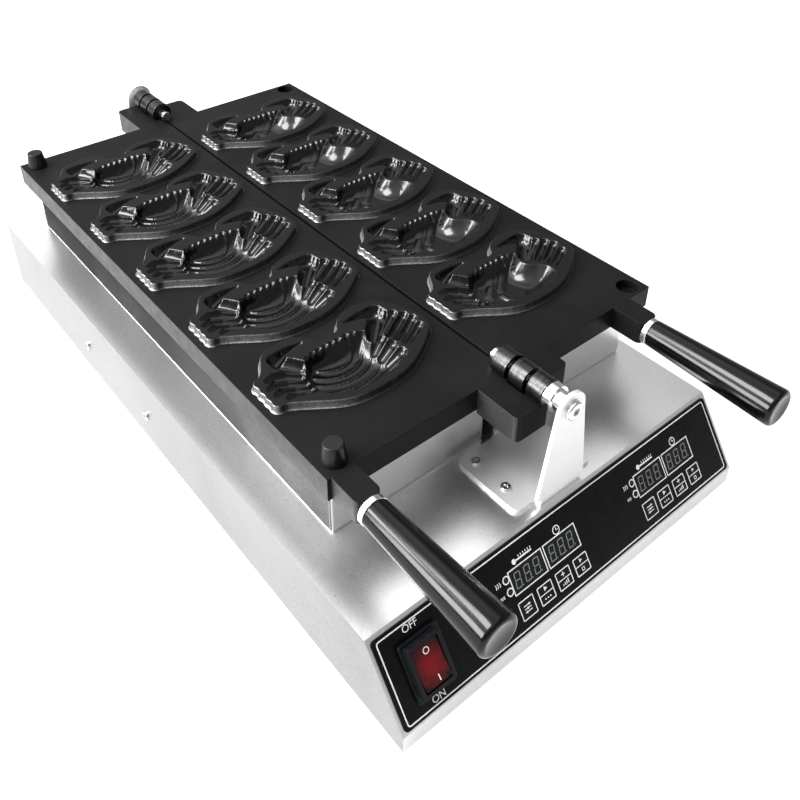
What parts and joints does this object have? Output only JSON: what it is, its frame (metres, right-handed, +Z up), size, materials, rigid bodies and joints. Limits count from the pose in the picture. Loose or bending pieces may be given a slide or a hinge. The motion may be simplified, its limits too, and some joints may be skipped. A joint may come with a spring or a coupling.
{
  "type": "flip waffle maker",
  "caption": "Counter-top waffle baker: twin hinged mould plates with handles fold together over two heater boxes on a steel base with a sloped control panel.",
  "frame": {"origin": "on the bench under the middle of the machine's overall box, handles included", "axes": "+X to the operator's right, +Y from the control panel to the rear, along the hinge line, +Z up"},
  "size_m": [0.3536, 0.7321, 0.1749],
  "materials": {
    "brushed_steel": "brushed",
    "bright_steel": "polished",
    "coated_plate": "satin non-stick coating",
    "grip_black": "glossy",
    "panel_black": "glossy",
    "lens_dark": "glossy",
    "lamp_lens": "glossy",
    "switch_grey": "satin",
    "rocker_red": "glossy",
    "foot_rubber": "matt",
    "board_green": "satin",
    "inner_plastic": "matt",
    "board_ceramic": "matt",
    "element_steel": "heat-tinted"
  },
  "bodies": {
    "base": {"base_cover": "brushed_steel", "board_standoffs": "bright_steel", "board_switches": "inner_plastic", "bottom_tray": "brushed_steel", "cord_gland": "inner_plastic", "display_modules": "inner_plastic", "display_windows": "lens_dark", "foot_screws": "bright_steel", "front_bracket_screws": "bright_steel", "front_hinge_bolt": "bright_steel", "front_hinge_bracket": "brushed_steel", "front_hinge_bush": "bright_steel", "front_panel": "brushed_steel", "heater_box_screws": "bright_steel", "indicator_lamps": "inner_plastic", "indicator_lenses": "lamp_lens", "left_control_board": "board_green", "left_element_supports": "element_steel", "left_heater_box": "brushed_steel", "left_heating_elements": "element_steel", "left_insulation_board": "board_ceramic", "left_key_guide": "inner_plastic", "panel_overlay": "panel_black", "power_board": "board_green", "power_board_posts": "bright_steel", "rear_bracket_screws": "bright_steel", "rear_hinge_bolt": "bright_steel", "rear_hinge_bracket": "brushed_steel", "rear_hinge_bush": "bright_steel", "rear_panel": "brushed_steel", "relays": "inner_plastic", "right_control_board": "board_green", "right_element_supports": "element_steel", "right_heater_box": "brushed_steel", "right_heating_elements": "element_steel", "right_insulation_board": "board_ceramic", "right_key_guide": "inner_plastic", "rubber_feet": "foot_rubber", "side_screws": "bright_steel", "supply_terminals": "inner_plastic", "switch_housing": "switch_grey", "thermostat_probes": "bright_steel"},
    "left_plate": {"left_mould_plate": "coated_plate", "guide_pins": "coated_plate", "left_handle_collar": "bright_steel", "left_handle_rod": "bright_steel", "left_handle_grip": "grip_black"},
    "right_plate": {"right_mould_plate": "coated_plate", "right_handle_collar": "bright_steel", "right_handle_rod": "bright_steel", "right_handle_grip": "grip_black"},
    "power_rocker": {"rocker_button": "rocker_red"},
    "left_key_1": {"left_key_1": "panel_black"},
    "left_key_2": {"left_key_2": "panel_black"},
    "left_key_3": {"left_key_3": "panel_black"},
    "left_key_4": {"left_key_4": "panel_black"},
    "right_key_1": {"right_key_1": "panel_black"},
    "right_key_2": {"right_key_2": "panel_black"},
    "right_key_3": {"right_key_3": "panel_black"},
    "right_key_4": {"right_key_4": "panel_black"}
  },
  "joints": [
    {"name": "left_plate_hinge", "type": "hinge", "parent": "base", "child": "left_plate", "pos_m": [0.006, 0, 0.16155], "axis": [0, 1, 0], "range_deg": [0, 180]},
    {"name": "right_plate_hinge", "type": "hinge", "parent": "base", "child": "right_plate", "pos_m": [0.006, 0, 0.16155], "axis": [0, 1, 0], "range_deg": [-180, 0]},
    {"name": "power_rocker_tilt", "type": "hinge", "parent": "base", "child": "power_rocker", "pos_m": [-0.142, -0.30966, 0.05236], "axis": [1, 0, 0], "range_deg": [0, 12]},
    {"name": "left_key_1_press", "type": "slide", "parent": "base", "child": "left_key_1", "axis": [0, 0.825, -0.5652], "range_m": [0, 0.0006], "stiffness_N_per_m": 200},
    {"name": "left_key_2_press", "type": "slide", "parent": "base", "child": "left_key_2", "axis": [0, 0.825, -0.5652], "range_m": [0, 0.0006], "stiffness_N_per_m": 200},
    {"name": "left_key_3_press", "type": "slide", "parent": "base", "child": "left_key_3", "axis": [0, 0.825, -0.5652], "range_m": [0, 0.0006], "stiffness_N_per_m": 200},
    {"name": "left_key_4_press", "type": "slide", "parent": "base", "child": "left_key_4", "axis": [0, 0.825, -0.5652], "range_m": [0, 0.0006], "stiffness_N_per_m": 200},
    {"name": "right_key_1_press", "type": "slide", "parent": "base", "child": "right_key_1", "axis": [0, 0.825, -0.5652], "range_m": [0, 0.0006], "stiffness_N_per_m": 200},
    {"name": "right_key_2_press", "type": "slide", "parent": "base", "child": "right_key_2", "axis": [0, 0.825, -0.5652], "range_m": [0, 0.0006], "stiffness_N_per_m": 200},
    {"name": "right_key_3_press", "type": "slide", "parent": "base", "child": "right_key_3", "axis": [0, 0.825, -0.5652], "range_m": [0, 0.0006], "stiffness_N_per_m": 200},
    {"name": "right_key_4_press", "type": "slide", "parent": "base", "child": "right_key_4", "axis": [0, 0.825, -0.5652], "range_m": [0, 0.0006], "stiffness_N_per_m": 200}
  ]
}
